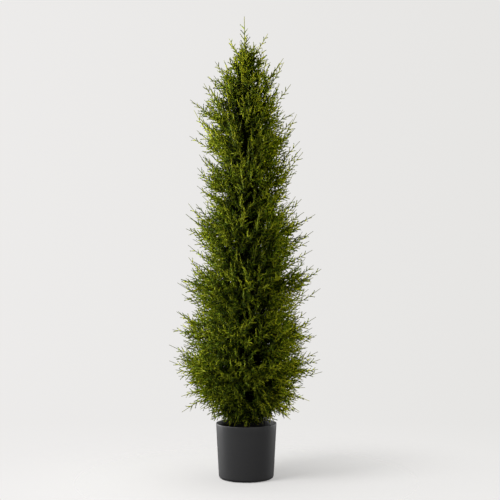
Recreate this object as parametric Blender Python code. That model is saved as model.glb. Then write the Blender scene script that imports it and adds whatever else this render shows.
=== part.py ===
"""Potted cedar topiary: a slim man-made evergreen column in a round plastic pot.

Units are metres, +Z is up, and the origin is the centre of the pot's flat underside.
A pole stands on the pot's filling and runs up through the whole crown. The crown is cut into
tiers and each tier into sectors. Each of those cells holds one mass of foliage: a stem, a dense
core and toothed sprays that stand out of it. The wide lower tiers hang on short boughs, and the
leader grows on from the pole's tip.
"""

import math
import random

import bmesh
import bpy
from mathutils import Vector

# ---- driving dimensions -------------------------------------------------------------------
TOTAL_HEIGHT = 1.220

POT_HEIGHT = 0.145
POT_RIM_RADIUS = 0.0800
POT_FOOT_RADIUS = 0.0724
POT_WALL = 0.0026
POT_FLOOR = 0.0040
POT_EDGE_ROUNDING = 0.0080
POT_SIDES = 48
ARC_STEPS = 3

FILL_LEVEL = 0.112
FILL_CHAMFER = 0.0015
GAP = 0.0003

TRUNK_TOP = 1.072
TRUNK_RADIUS = 0.0070
TRUNK_TIP_RADIUS = 0.0024
TRUNK_FLARE_RADIUS = 0.0125
TRUNK_FLARE_HEIGHT = 0.030
TRUNK_BOW = 0.003
TRUNK_LEAN = -0.003
TRUNK_SIDES = 10
TRUNK_STEPS = 10

BOUGH_RADIUS = 0.0034
BOUGH_TIP_RADIUS = 0.0024
BOUGH_SIDES = 6
BOUGH_STEPS = 2
STEM_RADIUS = 0.0024
STEM_TIP_RADIUS = 0.0010
STEM_SIDES = 5
LEADER_SIDES = 8
STEM_LENGTH = 0.035

# Where foliage keeps clear: of a cell's walls, of the pole and boughs, and of the pot.
WALL_CLEARANCE = 0.0009
LIMB_CLEARANCE = 0.0035
POT_CLEARANCE = 0.0040
POT_DIP_RADIUS = 0.060

# The crown's outline: height, reach to the left (-X) and reach to the right (+X).
CROWN_OUTLINE = (
    (0.150, 0.088, 0.092),
    (0.195, 0.130, 0.130),
    (0.240, 0.150, 0.140),
    (0.330, 0.180, 0.156),
    (0.400, 0.168, 0.152),
    (0.445, 0.140, 0.138),
    (0.525, 0.160, 0.156),
    (0.590, 0.126, 0.146),
    (0.680, 0.140, 0.146),
    (0.748, 0.112, 0.108),
    (0.825, 0.108, 0.112),
    (0.865, 0.098, 0.096),
    (0.905, 0.136, 0.110),
    (0.945, 0.104, 0.114),
    (0.983, 0.120, 0.090),
    (1.015, 0.080, 0.080),
    (1.050, 0.092, 0.094),
    (1.100, 0.056, 0.050),
    (1.135, 0.020, 0.040),
    (TOTAL_HEIGHT, 0.003, 0.003),
)

# How steeply the sprays rise, in degrees, at a height in the crown.
SPRAY_RISE = ((0.160, -34), (0.235, -6), (0.330, 10), (0.700, 30), (0.985, 44), (1.150, 58))

# Tier: name, height of its foot at the crown's surface, masses in it, turn of the first mass
# in degrees, sprays on a mass, and the radius at which its boughs end (None where stems start
# at the pole).
TIERS = (
    ("skirt", 0.150, 4, 45, 6, None),
    ("low", 0.238, 5, 0, 7, 0.058),
    ("belly", 0.345, 5, 36, 7, 0.058),
    ("waist", 0.447, 5, 0, 7, 0.052),
    ("middle", 0.592, 5, 36, 7, None),
    ("upper", 0.748, 4, 0, 6, None),
    ("shoulder", 0.868, 4, 45, 5, None),
    ("neck", 0.945, 3, 180, 6, None),
    ("cap", 1.030, 3, 0, 6, None),
)
LEADER_FOOT = 1.105
LEADER_SPRAYS = 8
LEADER_FIRST = 0.008
LEADER_STEP = 0.006
LEADER_REACH = 0.062
LEADER_FADE = 4
LEADER_RISE = (57, 38)
LEADER_RISE_JITTER = 2
LEADER_TOOTH = 0.013
LEADER_BLADE_ROOT = 1.152
LEADER_BLADE_TEETH = (0.20, 0.60)
# The leader's core over the pole's tip: height and radius.
LEADER_CORE = ((1.079, 0.020), (1.099, 0.038), (1.122, 0.026), (1.145, 0.012), (1.165, 0.0026))

# The crown's longest tips: mass, azimuth in degrees (0 is +X), height and distance from the pole.
LONG_TIPS = (
    ("skirt_1", 12, 0.205, 0.158),
    ("skirt_2", 168, 0.222, 0.163),
    ("low_1", 4, 0.285, 0.190),
    ("low_3", 173, 0.316, 0.197),
    ("belly_1", 10, 0.372, 0.182),
    ("belly_3", 184, 0.440, 0.182),
    ("waist_1", -4, 0.552, 0.196),
    ("waist_3", 172, 0.523, 0.179),
    ("middle_1", 8, 0.697, 0.184),
    ("middle_3", 182, 0.697, 0.162),
    ("upper_1", 3, 0.872, 0.146),
    ("shoulder_2", 171, 0.906, 0.153),
    ("neck_1", 180, 1.000, 0.147),
    ("neck_3", 9, 0.968, 0.131),
    ("cap_1", 2, 1.110, 0.102),
    ("cap_2", 171, 1.063, 0.103),
)

# A core reaches this share of the crown's radius. Its slices are drawn through these points,
# in shares of the cell's depth and height.
CORE_SHARE = 0.86
CORE_MARGIN = 0.0020
CORE_STEP = math.radians(24)
CORE_LUMPS = (0.94, 1.0)
CORE_SLICE = ((0, 0), (0.5, 0), (0.9, 0), (1, 0.5), (0.9, 1), (0.5, 1), (0, 1))

# A spray: where on the stem it roots, how far its tip stands past the crown's outline, how much
# its rib arches, how its blade is turned, and the blade's teeth and thickness.
ROOT_SHARE = (0.12, 0.32)
TIP_REACH = (0.004, 0.028)
ARCH_UP = (0.05, 0.12)
ARCH_DOWN = -0.06
BLADE_ROLL = (25, 75)
TEETH = 3
TEETH_FROM = 0.60
TEETH_TO = 0.90
TOOTH_LENGTH = (0.015, 0.020)
TOOTH_SPREAD = 0.78
TOOTH_SWEEP = 0.62
TOOTH_TAPER = 0.45
RIB = 0.0016

# How the sprays of a mass are spread over its outer face, and tried again where they don't fit.
GOLDEN_SHARE = 0.618034
GOLDEN_TURN = 137.5
ACROSS_START = 0.31
ACROSS_FILL = 0.80
UP_FROM = 0.10
UP_FILL = 0.84
TRIES = 12
SHRINK = 0.92
SEED = 4211


# ---- the crown's form ---------------------------------------------------------------------
def along(rows, at, column=1):
    """The value in a column of rows at a height, on straight lines between the rows."""
    if at <= rows[0][0]:
        return rows[0][column]
    for low, high in zip(rows, rows[1:]):
        if at <= high[0]:
            share = (at - low[0]) / (high[0] - low[0])
            return low[column] + share * (high[column] - low[column])
    return rows[-1][column]


def crown_radius(z, azimuth):
    """How far the leafy body reaches at a height, towards an azimuth (0 is +X)."""
    left = along(CROWN_OUTLINE, z, 1)
    right = along(CROWN_OUTLINE, z, 2)
    return (left + right) / 2 + (right - left) / 2 * math.cos(azimuth)


def trunk_axis(z):
    """Centre of the pole at a height: a slight bow, and a lean of the top to the left."""
    share = max(0.0, (z - FILL_LEVEL) / (TRUNK_TOP - FILL_LEVEL))
    return Vector((TRUNK_BOW * math.sin(math.pi * share) + TRUNK_LEAN * share**2, 0.0, z))


def trunk_radius(z):
    """Radius of the pole at a height, with its flared foot."""
    share = (z - FILL_LEVEL) / (TRUNK_TOP - FILL_LEVEL)
    radius = TRUNK_RADIUS + (TRUNK_TIP_RADIUS - TRUNK_RADIUS) * share
    foot = max(0.0, 1 - (z - FILL_LEVEL) / TRUNK_FLARE_HEIGHT)
    return radius + (TRUNK_FLARE_RADIUS - TRUNK_RADIUS) * foot**2


def polar(rho, azimuth, z):
    """The point at a distance from the pole's centre, towards an azimuth, at a height."""
    return trunk_axis(z) + Vector((rho * math.cos(azimuth), rho * math.sin(azimuth), 0.0))


def level(foot, rho):
    """Height, at a distance from the pole, of the sloping surface that parts two tiers."""
    slope = math.tan(math.radians(along(SPRAY_RISE, foot)))
    return foot + slope * (rho - crown_radius(foot, math.pi / 2))


class Cell:
    """The space of one mass: a sector of a tier, clear of the pole, its boughs and the pot."""

    def __init__(self, name, azimuth, half_angle, foot, head, sprays, bough_end):
        self.name, self.azimuth, self.half_angle = name, azimuth, half_angle
        self.foot, self.head = foot, head
        self.sprays, self.bough_end = sprays, bough_end

    def floor(self, rho):
        if self.foot > TIERS[0][1]:
            return level(self.foot, rho)
        dip = max(0.0, 1 - rho / POT_DIP_RADIUS) * (POT_HEIGHT - FILL_LEVEL)
        return POT_HEIGHT + POT_CLEARANCE - dip

    def ceiling(self, rho):
        return level(self.head, rho)

    def middle(self, rho):
        """Height of the cell's mid-line, which boughs and stems follow."""
        return (level(self.foot, rho) + self.ceiling(rho)) / 2

    def inner(self, z):
        """Distance from the pole's centre at which foliage may start."""
        return (self.bough_end or trunk_radius(z)) + LIMB_CLEARANCE

    def start(self):
        """Distance from the pole's centre at which the mass's own stem starts."""
        return (self.bough_end or trunk_radius(self.middle(0.0))) + GAP

    def outer(self):
        """The crown's reach half-way up the cell."""
        return crown_radius((self.foot + self.head) / 2, self.azimuth)

    def holds(self, point, margin=WALL_CLEARANCE):
        """True if a point lies in the cell, clear of its walls."""
        from_axis = point - trunk_axis(point.z)
        rho = math.hypot(from_axis.x, from_axis.y)
        turn = math.atan2(from_axis.y, from_axis.x) - self.azimuth
        turn = abs((turn + math.pi) % (2 * math.pi) - math.pi)
        if rho < self.inner(point.z) or turn >= self.half_angle:
            return False
        if rho * math.sin(min(self.half_angle - turn, math.pi / 2)) < margin:
            return False
        return self.floor(rho) + margin < point.z < self.ceiling(rho) - margin


class LeaderCell(Cell):
    """The space of the leader: everything over the top tier, all round, on from the pole's tip."""

    def ceiling(self, rho):
        return TOTAL_HEIGHT

    def holds(self, point, margin=WALL_CLEARANCE):
        from_axis = point - trunk_axis(point.z)
        rho = math.hypot(from_axis.x, from_axis.y)
        if point.z < TRUNK_TOP + margin and rho < self.inner(point.z):
            return False
        return self.floor(rho) + margin < point.z <= TOTAL_HEIGHT


def crown_cells():
    """The cells of the crown's tiers, from the skirt up."""
    feet = [tier[1] for tier in TIERS] + [LEADER_FOOT]
    made = []
    for index, (tier, foot, count, turn, sprays, bough_end) in enumerate(TIERS):
        for k in range(count):
            azimuth = math.radians(turn) + 2 * math.pi * k / count
            name = f"{tier}_{k + 1}"
            half_angle = math.pi / count
            made.append(Cell(name, azimuth, half_angle, foot, feet[index + 1], sprays, bough_end))
    return made


# ---- mesh helpers -------------------------------------------------------------------------
def material_of(name, colour, roughness, metallic=0.0):
    """A plain finish."""
    material = bpy.data.materials.new(name)
    material.use_nodes = True
    shader = material.node_tree.nodes["Principled BSDF"]
    shader.inputs["Base Color"].default_value = (*colour, 1.0)
    shader.inputs["Roughness"].default_value = roughness
    shader.inputs["Metallic"].default_value = metallic
    return material


def add_object(name, verts, faces, material, smooth=False):
    """A mesh object with outward normals and one material."""
    mesh = bpy.data.meshes.new(name)
    mesh.from_pydata([tuple(vert) for vert in verts], [], faces)
    shape = bmesh.new()
    shape.from_mesh(mesh)
    bmesh.ops.recalc_face_normals(shape, faces=shape.faces[:])
    shape.to_mesh(mesh)
    shape.free()
    mesh.materials.append(material)
    if smooth:
        mesh.shade_smooth()
        mesh.set_sharp_from_angle(angle=math.radians(40))
    made = bpy.data.objects.new(name, mesh)
    bpy.context.scene.collection.objects.link(made)
    return made


def lathe(name, profile, sides, material):
    """A turned solid from a profile of (radius, height) points that starts and ends on the axis."""
    verts = []
    rings = []
    for radius, z in profile:
        count = 1 if radius == 0 else sides
        rings.append([len(verts) + k % count for k in range(sides + 1)])
        for k in range(count):
            turn = 2 * math.pi * k / sides
            verts.append((radius * math.cos(turn), radius * math.sin(turn), z))
        rings[-1][-1] = rings[-1][0]
    faces = []
    for low, high in zip(rings, rings[1:]):
        for k in range(sides):
            corners = (low[k], low[k + 1], high[k + 1], high[k])
            faces.append(list(dict.fromkeys(corners)))
    return add_object(name, verts, faces, material, smooth=True)


def limb(name, rings, material):
    """A tapering limb through rings of points, with flat ends."""
    sides = len(rings[0])
    verts = [point for ring in rings for point in ring]
    faces = [list(range(sides)), list(range(len(verts) - sides, len(verts)))]
    for start in range(0, len(verts) - sides, sides):
        for k in range(sides):
            n = (k + 1) % sides
            faces.append([start + k, start + n, start + sides + n, start + sides + k])
    return add_object(name, verts, faces, material, smooth=True)


def ring_round(centre, direction, radius, sides):
    """Points round a limb's centre, in the plane square to a direction."""
    direction = direction.normalized()
    side = direction.cross(Vector((0, 0, 1)))
    side = side.normalized() if side.length > 0.001 else Vector((1, 0, 0))
    up = side.cross(direction)
    turns = [2 * math.pi * (k + 0.5) / sides for k in range(sides)]
    return [centre + radius * (math.cos(turn) * side + math.sin(turn) * up) for turn in turns]


def limb_rings(cell, start, end, radii, sides):
    """Rings of a limb that follows a cell's mid-line outwards. They all stand upright, so that
    limbs meet each other and the pole face to face."""
    outward = Vector((math.cos(cell.azimuth), math.sin(cell.azimuth), 0.0))
    rings = []
    for k, radius in enumerate(radii):
        rho = start + (end - start) * k / (len(radii) - 1)
        here = polar(rho, cell.azimuth, cell.middle(rho))
        rings.append(ring_round(here, outward, radius, sides))
    return rings


def fuse(body, pieces):
    """Joins pieces to a body by one Boolean union on a collection, and applies it."""
    group = bpy.data.collections.new("pieces")
    for piece in pieces:
        bpy.context.scene.collection.objects.unlink(piece)
        group.objects.link(piece)
    union = body.modifiers.new("union", "BOOLEAN")
    union.operation = "UNION"
    union.operand_type = "COLLECTION"
    union.collection = group
    union.solver = "MANIFOLD"
    graph = bpy.context.evaluated_depsgraph_get()
    fused = bpy.data.meshes.new_from_object(body.evaluated_get(graph))
    body.modifiers.clear()
    body.data = fused
    for piece in pieces:
        bpy.data.objects.remove(piece)
    bpy.data.collections.remove(group)
    keep_main_shell(fused)


def keep_main_shell(mesh):
    """Fills hollows that a union sealed and drops loose scraps: only the widest shell stays."""
    shape = bmesh.new()
    shape.from_mesh(mesh)
    waiting = set(shape.verts)
    shells = []
    while waiting:
        shell = [waiting.pop()]
        for vert in shell:
            near = [edge.other_vert(vert) for edge in vert.link_edges]
            fresh = [other for other in near if other in waiting]
            waiting.difference_update(fresh)
            shell.extend(fresh)
        shells.append(shell)
    shells.sort(key=lambda shell: max(v.co.z for v in shell) - min(v.co.z for v in shell))
    for shell in shells[:-1]:
        bmesh.ops.delete(shape, geom=shell, context="VERTS")
    shape.to_mesh(mesh)
    shape.free()


# ---- pot and pole -------------------------------------------------------------------------
def pot_radius(z):
    """Outer radius of the pot's tapered wall at a height."""
    return POT_FOOT_RADIUS + (POT_RIM_RADIUS - POT_FOOT_RADIUS) * z / POT_HEIGHT


def arc(centre_radius, centre_z, radius, first, last):
    """Points of a profile on an arc, between two angles in degrees."""
    turns = [math.radians(first + (last - first) * k / ARC_STEPS) for k in range(ARC_STEPS + 1)]
    return [(centre_radius + radius * math.cos(t), centre_z + radius * math.sin(t)) for t in turns]


def make_pot(material):
    """Thin-walled, slightly tapered pot with a rounded foot and a rounded rim."""
    edge = POT_EDGE_ROUNDING
    lip = POT_WALL / 2
    inner_foot = pot_radius(edge) - POT_WALL
    profile = [(0.0, 0.0)]
    profile += arc(pot_radius(edge) - edge, edge, edge, -90, 0)
    profile += arc(POT_RIM_RADIUS - lip, POT_HEIGHT - lip, lip, 0, 180)
    profile += arc(inner_foot - edge / 2, POT_FLOOR + edge / 2, edge / 2, 0, -90)
    profile += [(0.0, POT_FLOOR)]
    return lathe("pot", profile, POT_SIDES, material)


def make_fill(material):
    """The weighted filling that carries the pole, a shade clear of the pot's wall and floor."""
    inset = POT_WALL + 2 * GAP
    low = POT_FLOOR + POT_EDGE_ROUNDING
    profile = (
        (0.0, POT_FLOOR + GAP),
        (pot_radius(0.0) - POT_EDGE_ROUNDING, POT_FLOOR + GAP),
        (pot_radius(low) - inset, low),
        (pot_radius(FILL_LEVEL) - inset, FILL_LEVEL - FILL_CHAMFER),
        (pot_radius(FILL_LEVEL) - inset - FILL_CHAMFER, FILL_LEVEL),
        (0.0, FILL_LEVEL),
    )
    return lathe("pot_fill", profile, POT_SIDES // 2, material)


def make_trunk(material):
    """The pole: a flared foot on the filling, a slow taper, a slight bow and a flat tip."""
    foot = FILL_LEVEL + GAP
    knee = foot + TRUNK_FLARE_HEIGHT
    heights = [foot, foot + 0.3 * TRUNK_FLARE_HEIGHT, knee]
    heights += [knee + (TRUNK_TOP - knee) * k / TRUNK_STEPS for k in range(1, TRUNK_STEPS + 1)]
    up = Vector((0, 0, 1))
    rings = [ring_round(trunk_axis(z), up, trunk_radius(z), TRUNK_SIDES) for z in heights]
    return limb("trunk", rings, material)


def make_bough(cell, material):
    """One tapering bough, from just off the pole to where it enters its mass."""
    radii = [
        BOUGH_RADIUS + (BOUGH_TIP_RADIUS - BOUGH_RADIUS) * k / BOUGH_STEPS
        for k in range(BOUGH_STEPS + 1)
    ]
    start = trunk_radius(cell.middle(0.0)) + GAP
    rings = limb_rings(cell, start, cell.bough_end, radii, BOUGH_SIDES)
    return limb(f"bough_{cell.name}", rings, material)


# ---- foliage ------------------------------------------------------------------------------
class Spray:
    """One frond: a curved rib from root to tip, and how its toothed blade is turned and sized."""

    def __init__(self, root, tip, sag, roll, tooth):
        self.root, self.tip, self.roll, self.tooth = root, tip, roll, tooth
        self.bend = (root + tip) / 2 - Vector((0, 0, sag * (tip - root).length))

    def at(self, t):
        """The rib's centre at a share of its length."""
        return (1 - t) ** 2 * self.root + 2 * t * (1 - t) * self.bend + t**2 * self.tip

    def frame(self, t):
        """Direction of the rib, of the blade's side and of its face, at a share of its length."""
        ahead = (1 - t) * (self.bend - self.root) + t * (self.tip - self.bend)
        ahead = ahead.normalized()
        level_side = ahead.cross(Vector((0, 0, 1)))
        if level_side.length < 0.05:
            level_side = Vector((1, 0, 0))
        level_side = level_side.normalized()
        face = level_side.cross(ahead)
        side = math.cos(self.roll) * level_side + math.sin(self.roll) * face
        return ahead, side, ahead.cross(side)


def blade_mesh(spray, first=TEETH_FROM, last=TEETH_TO):
    """Vertices and faces of a toothed blade: a rib of triangular section with swept teeth
    between two shares of its length."""
    stations = [0.0] + [first + (last - first) * k / TEETH for k in range(TEETH + 1)]
    verts = []
    for t in stations:
        ahead, side, face = spray.frame(t)
        thick = RIB * (1.2 - 0.6 * t)
        low = spray.at(t) - 0.5 * thick * face
        verts += [low + 1.3 * thick * side, spray.at(t) + thick * face, low - 1.3 * thick * side]
    faces = [[0, 1, 2], [0, 3, 4, 1], [1, 4, 5, 2], [2, 5, 3, 0]]
    for j in range(1, TEETH + 1):
        right, ridge, left = 3 * j, 3 * j + 1, 3 * j + 2
        t = (stations[j] + stations[j + 1]) / 2
        ahead, side, face = spray.frame(t)
        length = spray.tooth * (1 - TOOTH_TAPER * (j - 1) / TEETH)
        teeth = []
        for sign, edge in ((1, right), (-1, left)):
            tooth = len(verts)
            aside = TOOTH_SPREAD * sign * side + TOOTH_SWEEP * ahead
            verts.append(spray.at(t) + length * aside)
            faces += [[edge, tooth, ridge], [tooth, ridge + 3, ridge], [tooth, edge + 3, ridge + 3]]
            teeth.append(tooth)
        faces += [[right, left, left + 3, right + 3]]
        faces += [[right, right + 3, teeth[0]], [left, left + 3, teeth[1]]]
    tip = len(verts)
    verts.append(spray.at(1.0))
    end = 3 * (len(stations) - 1)
    faces += [[end + k, end + (k + 1) % 3, tip] for k in range(3)]
    return verts, faces


def cell_spray(cell, k, rng, shrink):
    """The k-th spray of a cell: spread over the cell's outer face by a rule, then jittered."""
    across = (ACROSS_START + k * GOLDEN_SHARE + rng.uniform(-0.06, 0.06)) % 1.0
    up = (k + 0.5 + rng.uniform(-0.25, 0.25)) / cell.sprays
    azimuth = cell.azimuth + (2 * across - 1) * ACROSS_FILL * cell.half_angle
    outer = cell.outer()
    low, high = cell.floor(outer), cell.ceiling(outer)
    z = low + (UP_FROM + UP_FILL * up) * (high - low)
    tip = polar(crown_radius(z, azimuth) + rng.uniform(*TIP_REACH), azimuth, z)
    return spray_to(cell, tip, rng, shrink)


def spray_to(cell, tip, rng, shrink):
    """A spray from the cell's stem to a tip. The skirt's arch down, and the rest sweep up."""
    inner = cell.inner(cell.middle(0.0))
    rho = inner + rng.uniform(*ROOT_SHARE) * (cell.outer() - inner)
    root = polar(rho, cell.azimuth, cell.middle(rho))
    roll = math.radians(rng.uniform(*BLADE_ROLL) * rng.choice((-1, 1)))
    arch = rng.uniform(*ARCH_UP) if cell.foot > TIERS[0][1] else ARCH_DOWN
    return Spray(root, tip, arch * shrink, roll, shrink * rng.uniform(*TOOTH_LENGTH))


def fits(cell, spray):
    """True if a spray's blade stays in its cell from where it leaves the stem."""
    verts, faces = blade_mesh(spray)
    past_root = verts[3:] + [spray.at(TEETH_FROM / 2)]
    return all(cell.holds(point) for point in past_root)


def mass_sprays(cell, seed):
    """The sprays of a mass, by a seeded rule. One that leaves the cell is tried again, smaller
    each time, and then skipped."""
    rng = random.Random(seed)
    sprays = []
    for name, azimuth, z, rho in LONG_TIPS:
        if name == cell.name:
            sprays.append(spray_to(cell, polar(rho, math.radians(azimuth), z), rng, SHRINK))
    for k in range(len(sprays), cell.sprays):
        tries = (cell_spray(cell, k, rng, SHRINK**n) for n in range(TRIES))
        spray = next((spray for spray in tries if fits(cell, spray)), None)
        if spray:
            sprays.append(spray)
    return sprays


def core_mesh(cell, rng):
    """A lumpy core that fills the inner part of its cell: upright slices round the pole, each
    with an inner face, a rising floor and roof, and a bulging outer face."""
    steps = math.ceil(2 * cell.half_angle / CORE_STEP)
    verts = []
    for k in range(steps + 1):
        across = 2 * k / steps - 1
        for depth, up in CORE_SLICE:
            verts.append(core_point(cell, across, depth, up, rng.uniform(*CORE_LUMPS)))
    ring = len(CORE_SLICE)
    faces = [list(range(ring)), list(range(len(verts) - ring, len(verts)))]
    for start in range(0, len(verts) - ring, ring):
        for k in range(ring):
            n = (k + 1) % ring
            faces.append([start + k, start + n, start + ring + n, start + ring + k])
    return verts, faces


def core_point(cell, across, depth, up, lump):
    """A point of the core, at shares of the cell's width, depth and height, clear of its walls.
    Its height and its distance from the pole depend on each other, and settle in a few steps."""
    azimuth = cell.azimuth + across * cell.half_angle
    rho = cell.inner(cell.middle(0.0))
    for step in range(3):
        low = cell.floor(rho) + CORE_MARGIN
        z = low + up * (cell.ceiling(rho) - CORE_MARGIN - low)
        inner = cell.inner(z) + CORE_MARGIN
        outer = CORE_SHARE * crown_radius(z, azimuth)
        rho = inner + depth * lump * (outer - inner)
    turn = across * (cell.half_angle - math.asin(CORE_MARGIN / rho))
    return polar(rho, cell.azimuth + turn, z)


def leader_sprays(cell):
    """Sprays round the leader, in a spiral, shorter and flatter from each to the next."""
    rng = random.Random(SEED)
    first_rise, last_rise = LEADER_RISE
    sprays = []
    for k in range(cell.sprays):
        root = trunk_axis(TRUNK_TOP + LEADER_FIRST + LEADER_STEP * k)
        reach = LEADER_REACH * (1 - k / (cell.sprays + LEADER_FADE))
        rise = first_rise + (last_rise - first_rise) * k / (cell.sprays - 1)
        rise += rng.uniform(-LEADER_RISE_JITTER, LEADER_RISE_JITTER)
        height = root.z + reach * math.tan(math.radians(rise))
        tip = polar(reach, math.radians(GOLDEN_TURN * k), height)
        roll = math.radians(rng.uniform(*BLADE_ROLL))
        sprays.append(Spray(root, tip, ARCH_UP[0], roll, LEADER_TOOTH))
    return [spray for spray in sprays if fits(cell, spray)]


def make_mass(cell, seed, leaf):
    """One mass of foliage: its core with the stem and the sprays fused in."""
    core = add_object(f"foliage_{cell.name}", *core_mesh(cell, random.Random(seed + 7)), leaf)
    radii = (STEM_RADIUS, STEM_RADIUS, STEM_TIP_RADIUS)
    rings = limb_rings(cell, cell.start(), cell.start() + STEM_LENGTH, radii, STEM_SIDES)
    pieces = [limb("stem", rings, leaf)]
    for spray in mass_sprays(cell, seed):
        pieces.append(add_object("spray", *blade_mesh(spray), leaf))
    fuse(core, pieces)
    return core


def make_leader(leaf):
    """The leader: a slim core on from the pole's tip that ends in a long toothed blade, with
    sprays that rise round it."""
    cell = LeaderCell("leader", 0.0, math.pi, LEADER_FOOT, TOTAL_HEIGHT, LEADER_SPRAYS, None)
    rows = ((TRUNK_TOP + GAP, TRUNK_TIP_RADIUS),) + LEADER_CORE
    up = Vector((0, 0, 1))
    rings = [ring_round(trunk_axis(z), up, radius, LEADER_SIDES) for z, radius in rows]
    core = limb("foliage_leader", rings, leaf)
    top = Spray(trunk_axis(LEADER_BLADE_ROOT), trunk_axis(TOTAL_HEIGHT), 0.0, 0.5, LEADER_TOOTH)
    pieces = [add_object("blade", *blade_mesh(top, *LEADER_BLADE_TEETH), leaf)]
    for spray in leader_sprays(cell):
        pieces.append(add_object("spray", *blade_mesh(spray), leaf))
    fuse(core, pieces)
    return core


def main():
    for old in list(bpy.data.objects):
        bpy.data.objects.remove(old)
    plastic = material_of("pot_plastic", (0.045, 0.045, 0.048), 0.55)
    filling = material_of("filling", (0.035, 0.030, 0.024), 0.95)
    bark = material_of("bark", (0.060, 0.040, 0.022), 0.85)
    leaf = material_of("leaf", (0.130, 0.210, 0.020), 0.60)
    make_pot(plastic)
    make_fill(filling)
    make_trunk(bark)
    for index, cell in enumerate(crown_cells()):
        if cell.bough_end:
            make_bough(cell, bark)
        make_mass(cell, SEED + 31 * index, leaf)
    make_leader(leaf)


main()
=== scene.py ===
"""Looks of the potted cedar topiary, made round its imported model.

Units are metres, +Z is up, and the origin is the centre of the pot's flat underside. The crown's
form and the rule for its sprays are those of the model's source. Each mass grows finer sprays
from its main ones, and all carry twiglets with needles, joined by kind and shade.
"""

import math
import random

import bpy
import numpy as np
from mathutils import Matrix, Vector

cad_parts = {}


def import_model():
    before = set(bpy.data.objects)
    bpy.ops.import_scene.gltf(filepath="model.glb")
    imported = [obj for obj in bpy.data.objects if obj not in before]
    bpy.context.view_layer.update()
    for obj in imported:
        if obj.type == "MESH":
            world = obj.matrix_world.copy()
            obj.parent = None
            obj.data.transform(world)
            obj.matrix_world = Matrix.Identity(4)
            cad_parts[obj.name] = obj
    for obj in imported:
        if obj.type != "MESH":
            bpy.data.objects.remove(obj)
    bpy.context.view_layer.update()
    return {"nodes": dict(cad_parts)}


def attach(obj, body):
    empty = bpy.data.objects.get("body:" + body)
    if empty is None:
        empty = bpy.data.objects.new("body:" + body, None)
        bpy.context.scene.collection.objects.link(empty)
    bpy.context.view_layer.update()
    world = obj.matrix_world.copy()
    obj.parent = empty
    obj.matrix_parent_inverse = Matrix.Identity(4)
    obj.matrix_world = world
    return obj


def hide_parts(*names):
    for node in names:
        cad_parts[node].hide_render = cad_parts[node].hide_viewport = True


# ---- camera, backdrop and floor ----
CAMERA_PLACE = (0.0098, -2.86, 0.602)
CAMERA_LENS = 77.8
CAMERA_SENSOR = 36.0
# The backdrop's colours at the left and right, between two directions' X. Low in the picture,
# between two directions' Z, it gets brighter and its colours move across. Then its strength as a
# light from the front and from behind.
BACKDROP_LEFT = (0.843, 0.832, 0.823)
BACKDROP_RIGHT = (0.796, 0.788, 0.774)
BACKDROP_WIDTH = 0.22
NEAR_SLOPES = (-0.155, -0.225)
NEAR_GLOW = 1.047
NEAR_SHIFT = -0.25
WORLD_GLOW = (0.05, 0.23)
# The floor's colour as seen and as it lights the plant, and where it melts into the backdrop.
FLOOR_COLOUR = (0.82, 0.81, 0.80)
FLOOR_DIM = (0.15, 0.149, 0.147)
FLOOR_RADIUS = 7.0
FLOOR_SIDES = 128
FLOOR_DROP = 0.0004
FLOOR_FADE = (0.10, 0.80)
FLOOR_BLEND = 0.42

# ---- lamps: place, aim, size, power and colour ----
WHITE = (1.0, 1.0, 1.0)
WARM = (1.0, 0.965, 0.86)
GOLDEN = (1.0, 0.84, 0.52)
FLOOR_LAMPS = {
    "floor_wash": ((0.0, 0.3, 3.0), (0.0, 0.3, 0.0), 4.0, 72, WHITE),
    "floor_key": ((-1.85, -1.3, 2.3), (0.0, 0.0, 0.0), 1.2, 72, WHITE),
}
PLANT_LAMPS = {
    "key": ((-2.3, -0.2, 1.8), (0.0, 0.0, 0.6), 0.12, 50, WARM),
    "front": ((-1.5, -2.1, 0.9), (0.0, 0.0, 0.3), 0.12, 20, WARM),
}
EDGE_LAMPS = {
    "edge_left": ((-2.45, 1.1, 1.9), (0.0, 0.0, 0.6), 0.5, 325, GOLDEN),
    "edge_right": ((2.45, 1.25, 1.9), (0.0, 0.0, 0.6), 0.5, 300, GOLDEN),
}
POT_LAMPS = {
    "pot_key": ((-2.0, -0.8, 1.9), (0.0, 0.0, 0.1), 0.8, 92, WHITE),
    "pot_light": ((1.4, -1.9, 1.7), (0.0, 0.0, 0.05), 1.4, 48, WHITE),
    "pot_edge": ((1.5, 1.1, 0.5), (0.0, 0.0, 0.1), 1.0, 17, WHITE),
    "pot_edge_left": ((-1.5, 0.9, 0.6), (0.0, 0.0, 0.1), 1.0, 40, WHITE),
}

# ---- the crown's form, as in the model's source ----
TOTAL_HEIGHT = 1.220
POT_HEIGHT = 0.145
POT_RIM_RADIUS = 0.0800
POT_FOOT_RADIUS = 0.0724
POT_WALL = 0.0026
POT_FLOOR = 0.0040
POT_EDGE_ROUNDING = 0.0080
FILL_LEVEL = 0.112
GAP = 0.0003

TRUNK_TOP = 1.072
TRUNK_RADIUS = 0.0070
TRUNK_TIP_RADIUS = 0.0024
TRUNK_FLARE_RADIUS = 0.0125
TRUNK_FLARE_HEIGHT = 0.030
TRUNK_BOW = 0.003
TRUNK_LEAN = -0.003
BOUGH_RADIUS = 0.0034
BOUGH_TIP_RADIUS = 0.0024
STEM_RADIUS = 0.0024

WALL_CLEARANCE = 0.0009
LIMB_CLEARANCE = 0.0035
POT_CLEARANCE = 0.0040
POT_DIP_RADIUS = 0.060

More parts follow.
